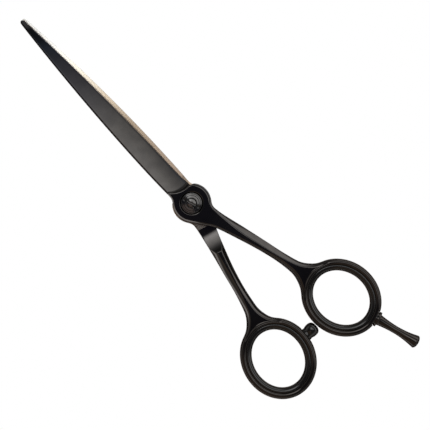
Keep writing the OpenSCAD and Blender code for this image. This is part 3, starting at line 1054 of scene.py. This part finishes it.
def on_axis(origin, along):
    """Takes a point of a turned piece to the frame, with its Z along an axis in the XY plane."""
    origin, along = Vector(origin), Vector(along).normalized()
    side = Vector((-along.y, along.x, 0))
    return lambda p: (origin + along * p.z + side * p.x + Vector((0, 0, 1)) * p.y) * MM


def rest_radius(t):
    if t < REST_WAIST_AT:
        return mix(REST_WAIST_R, REST_BASE_R, (1 - t / REST_WAIST_AT) ** 2)
    flare = ((t - REST_WAIST_AT) / (1 - REST_WAIST_AT)) ** REST_FLARE_POWER
    return mix(REST_WAIST_R, REST_END_R, flare)


def make_rest():
    thread_start, collar_start, root = REST_STOPS
    collar = [
        (0, thread_start), (REST_TIP_R, thread_start),
        (REST_THREAD_R - THREAD_CHAMFER, thread_start),
        (REST_THREAD_R, thread_start + THREAD_CHAMFER), (REST_THREAD_R, collar_start),
        (COLLAR_R, collar_start), (COLLAR_R, root), (REST_BASE_R + FIT, root),
    ]
    body = [(rest_radius(t), root + REST_L * t) for t in steps(*REST_SHARES)]
    dome = [
        (REST_END_R * cos(a), root + REST_L + REST_DOME * sin(a))
        for a in steps(DOME_START, DOME_END, DOME_STEPS)
    ]
    profile = softened(collar, REST_ROUNDING) + body + dome + [(0, root + REST_L + REST_DOME)]
    to_world = on_axis((*FINGER.ring, BOSS_T), REST_AXIS)
    return lathe("finger_rest_turned", profile, FITTING_SIDES, to_world)


def make_bumper():
    low, high = box_mm("bumper")
    radius = (high.x - low.x) / 2
    seat, end, foot = BUMPER_SEAT, low.y - BUMPER_EXTRA, BUMPER_SEAT - high.y
    stem = [(0, foot), (BUMPER_FOOT_R, foot), (BUMPER_STEM_R, foot), (BUMPER_STEM_R, 0)]
    stem += [(BUMPER_NECK_R + out, z) for out, z in BUMPER_NECK]
    reach = seat - end - BALL_CENTRE
    ball = []
    for a in steps(BALL_START, DOME_END, BALL_STEPS):
        across = cos(a) ** BALL_SQUARENESS
        up = copysign(abs(sin(a)) ** BALL_SQUARENESS, a)
        ball.append((radius * across, BALL_CENTRE + reach * up))
    profile = softened(stem, BUMPER_ROUNDING) + ball + [(0, seat - end)]
    origin = ((low.x + high.x) / 2, seat, BOSS_T)
    return lathe("bumper_ball", profile, FITTING_SIDES, on_axis(origin, (0, -1, 0)))


def make_dial():
    low, high = box_mm("tension_dial")
    bottom, top = low.z, high.z
    underside = [
        (DIAL_BORE_R, bottom + DIAL_BORE_SPLIT), (DIAL_BORE_R, bottom), (DIAL_HUB_R, bottom),
        (DIAL_HUB_R, bottom + DIAL_GROOVE), (DIAL_R - DIAL_SKIRT_W, bottom + DIAL_GROOVE),
        (DIAL_R - DIAL_SKIRT_W, bottom), (DIAL_R, bottom),
    ]
    cut = DIAL_EDGE_CUT
    rim = [(DIAL_R, top - DIAL_RIM_DROP), (DIAL_FACE_R + cut, top - DIAL_FALL - cut)]
    face = []
    for t in steps(0, 1, DIAL_FACE_STEPS):
        radius = mix(DIAL_FACE_R, DIAL_WELL_R, t)
        groove = sum(ease(1 - abs(radius - r) / DIAL_RING_W) for r in DIAL_RINGS)
        face.append((radius, top - DIAL_FALL * (1 - t) - DIAL_RING_DEPTH * groove))
    wall = LOCK_R + FIT
    well = [
        (DIAL_WELL_R - cut, top - cut), (wall + LOCK_BLEND, top - DIAL_WELL_CUT),
        (wall, top - DIAL_WELL_CUT - cut), (wall, top - DIAL_WELL), (DIAL_BORE_R, top - DIAL_WELL),
    ]
    profile = softened(underside + rim, cut) + face + well
    profile.append((DIAL_BORE_R, bottom + DIAL_BORE_SPLIT))
    dial = lathe("tension_dial_turned", profile, DIAL_SIDES, lambda point: point * MM)
    turn = radians(PIT_ANGLE)
    for vertex in dial.data.vertices:
        if vertex.co.z < (top - DIAL_FALL - PIT_REACH) * MM:
            continue
        for side in (1, -1):
            pit = flat(cos(turn), sin(turn)) * PIT_PITCH_R * side
            distance = (flat(vertex.co.x, vertex.co.y) / MM - pit).length
            fall = ease((distance - PIT_R * PIT_FLAT) / (PIT_R * PIT_FLAT))
            vertex.co.z -= PIT_DEPTH * MM * (1 - fall)
    return dial


def lock_section(u, bottom, top):
    """A section across the lock screw's slot at u along the slot, as a closed row of points."""
    half_width = sqrt(max(0, LOCK_R ** 2 - u ** 2))
    stem_width = sqrt(max(0, LOCK_STEM_R ** 2 - u ** 2))
    slot = LOCK_SLOT_HALF
    floor = top - LOCK_SLOT_DEPTH
    under = top - LOCK_HEAD_T

    def height(v):
        return top - LOCK_DOME * (u * u + v * v) / LOCK_R ** 2

    side = [(stem_width, bottom if stem_width > 0 else under), (stem_width, under)]
    side += [(half_width, under), (half_width, mix(under, floor, LOCK_SIDE_SHARE))]
    if half_width > slot + LOCK_BLEND:
        side += [(v, height(v)) for v in steps(half_width, slot + LOCK_BLEND, LOCK_TOP_STEPS)]
        side += [(slot, height(slot) - LOCK_BLEND), (slot, floor + LOCK_BLEND)]
        side.append((slot - LOCK_BLEND, floor))
    else:
        side += [(half_width, floor)] * (LOCK_TOP_STEPS + 4)
    other = [(-v, z) for v, z in reversed(side)]
    return [Vector((u, v, z)) for v, z in side + other]


def make_lock_screw():
    low, high = box_mm("lock_screw")
    angles = steps(-pi / 2, pi / 2, LOCK_ROWS)
    rows = [lock_section(LOCK_R * sin(a), low.z, high.z) for a in angles]
    skin = Skin()
    loops = list(zip(*rows))
    skin.grid(loops + [loops[0]])
    turn = radians(PIT_ANGLE)

    def to_world(point):
        around = turned(point.x, point.y, turn)
        return Vector((around.x, around.y, point.z)) * MM

    return subdivided(skin.build("lock_screw_slotted", to_world), 1)


# ----- Materials -----

class Nodes:
    """A small helper that adds and links shader nodes."""

    def __init__(self, tree):
        self.tree = tree
        tree.nodes.clear()

    def add(self, kind, **settings):
        """Adds a shader node. Settings are its properties, or its inputs with _ for a space."""
        node = self.tree.nodes.new("ShaderNode" + kind)
        for name, value in settings.items():
            if hasattr(node, name):
                setattr(node, name, value)
            else:
                node.inputs[name.replace("_", " ")].default_value = value
        return node

    def link(self, a, b):
        self.tree.links.new(a, b)

    def ramp(self, factor, stops, start=0, end=1):
        """A colour ramp from (position, grey or colour) stops between start and end."""
        node = self.add("ValToRGB")
        elements = node.color_ramp.elements
        while len(elements) < len(stops):
            elements.new(0.5)
        for element, (at, colour) in zip(elements, stops):
            if not isinstance(colour, tuple):
                colour = (colour, colour, colour)
            element.position = (at - start) / (end - start)
            element.color = (*colour, 1)
        self.link(factor, node.inputs["Fac"])
        return node.outputs["Color"]

    def scaled(self, value, low=0.0, high=1.0, start=0.0, end=1.0):
        """A value taken from the range start to end into the range low to high."""
        node = self.add("MapRange", From_Min=start, From_Max=end, To_Min=low, To_Max=high)
        self.link(value, node.inputs["Value"])
        return node.outputs["Result"]

    def worked_out(self, operation, *values):
        node = self.add("Math", operation=operation)
        for value, socket in zip(values, node.inputs):
            if isinstance(value, float):
                socket.default_value = value
            else:
                self.link(value, socket)
        return node.outputs[0]

    def product(self, a, b):
        node = self.add("Mix", data_type="RGBA", blend_type="MULTIPLY", Factor=1.0)
        self.link(a, node.inputs[COLOUR_A])
        self.link(b, node.inputs[COLOUR_B])
        return node.outputs[COLOUR_OUT]

    def bump(self, height, strength, distance):
        node = self.add("Bump", Strength=strength, Distance=distance)
        self.link(height, node.inputs["Height"])
        return node.outputs["Normal"]


class Surface(Nodes):
    """A material with one principled shader, whose noise follows the piece."""

    def __init__(self, name, **settings):
        self.material = bpy.data.materials.new(name)
        self.material.use_nodes = True
        super().__init__(self.material.node_tree)
        out = self.add("OutputMaterial")
        self.shader = self.add("BsdfPrincipled", **settings)
        self.link(self.shader.outputs[0], out.inputs[0])
        self.where = self.add("TexCoord").outputs["Object"]

    def drive(self, name, value):
        self.link(value, self.shader.inputs[name])

    def noise(self, stretch, detail=2.0):
        """Noise whose grain is `stretch` times finer than a metre along each axis."""
        mapping = self.add("Mapping", Scale=stretch)
        self.link(self.where, mapping.inputs["Vector"])
        node = self.add("TexNoise", Scale=1.0, Detail=detail)
        self.link(mapping.outputs["Vector"], node.inputs["Vector"])
        return node.outputs["Fac"]

    def along_shears(self):
        """0 a blade's length behind the pivot, and 1 at the tips."""
        place = self.add("SeparateXYZ")
        self.link(self.where, place.inputs[0])
        return self.scaled(place.outputs["X"], start=-BLADE_L * MM, end=BLADE_L * MM)


def coat_material():
    """A hard black coating on polished steel: glossy, a little cloudy and finely scratched."""
    n = Surface("coated_steel", Metallic=0.92)
    cloud = n.noise((300, 300, 300), 3.0)
    tone = n.ramp(cloud, ((0.3, (0.053, 0.050, 0.049)), (0.7, (0.066, 0.062, 0.060))))
    # Painted light and shade along the shears, multiplied into the coat's colour
    fade = n.ramp(n.along_shears(), COAT_PAINTED_LIGHT)
    n.drive("Base Color", n.product(tone, fade))
    lines = n.noise((400, 9000, 9000))
    n.drive("Roughness", n.scaled(lines, 0.05, 0.09))
    n.drive("Normal", n.bump(lines, 0.02, 0.00001))
    return n.material


def bare_steel_material():
    """Bare ground steel with grinding lines across; its colour carries painted reflection, warm at
    the heel and bright at the tip.
    """
    n = Surface("ground_steel", Metallic=1.0)
    # Painted reflection along the shears, in the steel's colour
    tone = n.ramp(n.along_shears(), STEEL_TONE_AND_PAINTED_REFLECTION)
    lines = n.noise((5000, 200, 200))
    grain = n.ramp(lines, ((0.3, 0.94), (0.7, 1.0)))
    n.drive("Base Color", n.product(tone, grain))
    n.drive("Roughness", n.scaled(lines, 0.32, 0.45))
    n.drive("Normal", n.bump(lines, 0.05, 0.00001))
    return n.material


def turned_material(name, light, dark, roughness):
    """Turned metal: fine rings round the pivot axis, and a slightly cloudy tone."""
    n = Surface(name, Metallic=1.0)
    cloud = n.noise((700, 700, 700), 3.0)
    n.drive("Base Color", n.ramp(cloud, ((0.3, dark), (0.7, light))))
    rings = n.add("TexWave", wave_type="RINGS", rings_direction="Z", Scale=3500.0, Distortion=1.5)
    n.link(n.where, rings.inputs["Vector"])
    n.drive("Roughness", n.scaled(cloud, roughness * 0.8, roughness * 1.2))
    n.drive("Normal", n.bump(rings.outputs["Fac"], 0.3, 0.000001))
    return n.material


def rubber_material():
    """Soft black rubber: nearly black and smooth, with a very fine moulded grain."""
    n = Surface("soft_rubber", Metallic=0.0)
    cloud = n.noise((500, 500, 500), 3.0)
    tone = n.ramp(cloud, ((0.3, (0.0025, 0.002, 0.0015)), (0.7, (0.0045, 0.004, 0.003))))
    n.drive("Base Color", tone)
    n.drive("Roughness", n.scaled(cloud, 0.1, 0.15))
    grain = n.noise((6000, 6000, 6000), 4.0)
    n.drive("Normal", n.bump(grain, 0.08, 0.00003))
    return n.material


def nylon_material():
    """White nylon: a little translucent, with faint moulding clouds."""
    n = Surface("white_nylon", Roughness=0.45, Subsurface_Weight=0.1, Subsurface_Scale=0.0005)
    cloud = n.noise((900, 900, 900), 4.0)
    tone = n.ramp(cloud, ((0.3, (0.68, 0.66, 0.60)), (0.7, (0.78, 0.76, 0.70))))
    n.drive("Base Color", tone)
    return n.material


# ----- Stage -----

def make_floor():
    """A plain pale floor that only the camera sees, so that it doesn't show in reflections."""
    reach, z = FLOOR_REACH, -FLOOR_DROP
    corners = [(-reach, -reach, z), (reach, -reach, z), (reach, reach, z), (-reach, reach, z)]
    mesh = bpy.data.meshes.new("floor")
    mesh.from_pydata(corners, [], [(0, 1, 2, 3)])
    floor = bpy.data.objects.new("floor", mesh)
    bpy.context.scene.collection.objects.link(floor)
    material = bpy.data.materials.new("floor_pale")
    material.use_nodes = True
    n = Nodes(material.node_tree)
    out = n.add("OutputMaterial")
    glow = n.add("Emission", Color=(1, 1, 1, 1), Strength=1.0)
    clear = n.add("BsdfTransparent")
    path = n.add("LightPath")
    pick = n.add("MixShader")
    n.link(path.outputs["Is Camera Ray"], pick.inputs["Fac"])
    n.link(clear.outputs[0], pick.inputs[1])
    n.link(glow.outputs[0], pick.inputs[2])
    n.link(pick.outputs[0], out.inputs[0])
    floor.data.materials.append(material)


def make_world():
    """Studio light that depends on the angle from overhead and on the compass direction."""
    world = bpy.data.worlds.new("studio")
    bpy.context.scene.world = world
    world.use_nodes = True
    n = Nodes(world.node_tree)
    out = n.add("OutputWorld")
    sky = n.add("Background", Strength=LIGHT_STRENGTH)
    n.link(sky.outputs[0], out.inputs[0])
    parts = n.add("SeparateXYZ")
    n.link(n.add("TexCoord").outputs["Generated"], parts.inputs[0])

    tilt = n.worked_out("ARCCOSINE", parts.outputs["Z"])
    down = n.worked_out("DIVIDE", tilt, pi)

    compass = n.worked_out("ARCTAN2", parts.outputs["Y"], parts.outputs["X"])
    around = n.scaled(compass, start=-pi, end=pi)
    shares = n.ramp(around, LIGHT_SHARES, -180, 180)
    split = n.add("SeparateColor")
    n.link(shares, split.inputs[0])

    light = n.ramp(down, LIGHT_ELSEWHERE, 0, 180)
    for share, stops in zip(split.outputs, (LIGHT_FRONT, LIGHT_CORNER, LIGHT_BACK)):
        side = n.ramp(down, stops, 0, 180)
        blend = n.add("Mix", data_type="RGBA")
        n.link(share, blend.inputs["Factor"])
        n.link(light, blend.inputs[COLOUR_A])
        n.link(side, blend.inputs[COLOUR_B])
        light = blend.outputs[COLOUR_OUT]
    n.link(light, sky.inputs["Color"])


def make_camera():
    """Straight above the shears, with the blades towards the upper left of the picture."""
    data = bpy.data.cameras.new("camera")
    data.lens = LENS
    data.sensor_width = SENSOR
    distance = SEEN_WIDTH * MM * LENS / SENSOR
    camera = bpy.data.objects.new("camera", data)
    camera.location = Vector((*CAMERA_TARGET, BOSS_T)) * MM + Vector((0, 0, distance))
    camera.rotation_euler = (0, 0, radians(CAMERA_ROLL))
    bpy.context.scene.collection.objects.link(camera)
    bpy.context.scene.camera = camera


# ----- Put together -----

def finish_piece(piece, node, body, slot, *materials):
    for material in materials:
        piece.data.materials.append(material)
    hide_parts(node)
    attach(piece, body)


coat = coat_material()
bare_steel = bare_steel_material()
rubber = rubber_material()
turned_black = turned_material("turned_black", (0.084, 0.082, 0.081), (0.072, 0.070, 0.069), 0.09)
hard_steel = turned_material("hard_steel", (0.62, 0.61, 0.58), (0.52, 0.51, 0.49), 0.25)
cage_bronze = turned_material("cage_bronze", (0.58, 0.40, 0.17), (0.46, 0.30, 0.12), 0.3)
nylon = nylon_material()

REST_PRESS = ((*FINGER.ring, BOSS_T), REST_AXIS, REST_SEAT_R, REST_SEAT)
BUMPER_PRESS = ((centre_mm("bumper").x, 0, BOSS_T), (0, -1, 0), BUMPER_SEAT_R, -BUMPER_SEAT)
for side, half, to_world, press in (
    ("finger", FINGER, place_finger, REST_PRESS),
    ("thumb", THUMB, place_thumb, BUMPER_PRESS),
):
    skin = make_half(side + "_half_skin", half, to_world)
    flatten(skin, *press)
    finish_piece(skin, side + "_half", side + "_side", "black_coat", coat, bare_steel)
    insert = make_insert(side + "_ring_insert_soft", half, to_world)
    finish_piece(insert, side + "_ring_insert", side + "_side", "soft_black", rubber)

finish_piece(make_rest(), "finger_rest", "rest", "black_coat", coat)
finish_piece(make_bumper(), "bumper", "thumb_side", "soft_black", rubber)
finish_piece(make_dial(), "tension_dial", "dial", "black_coat", turned_black)
finish_piece(make_lock_screw(), "lock_screw", "thumb_side", "black_coat", turned_black)

NODE_MATERIALS = {
    "pivot_stud": turned_black,
    "pivot_bush": cage_bronze,
    "front_race": hard_steel,
    "rear_race": hard_steel,
    "ball_cage": cage_bronze,
    "bearing_balls": hard_steel,
    "glide_washer": nylon,
    "click_plate": hard_steel,
    "click_spring": hard_steel,
    "spring_washer": hard_steel,
    "finger_rest_washer": rubber,
}
for node, material in NODE_MATERIALS.items():
    slots = frame["nodes"][node].data.materials
    slots.clear()
    slots.append(material)

make_floor()
make_world()
make_camera()
bpy.context.scene.view_settings.view_transform = "Standard"
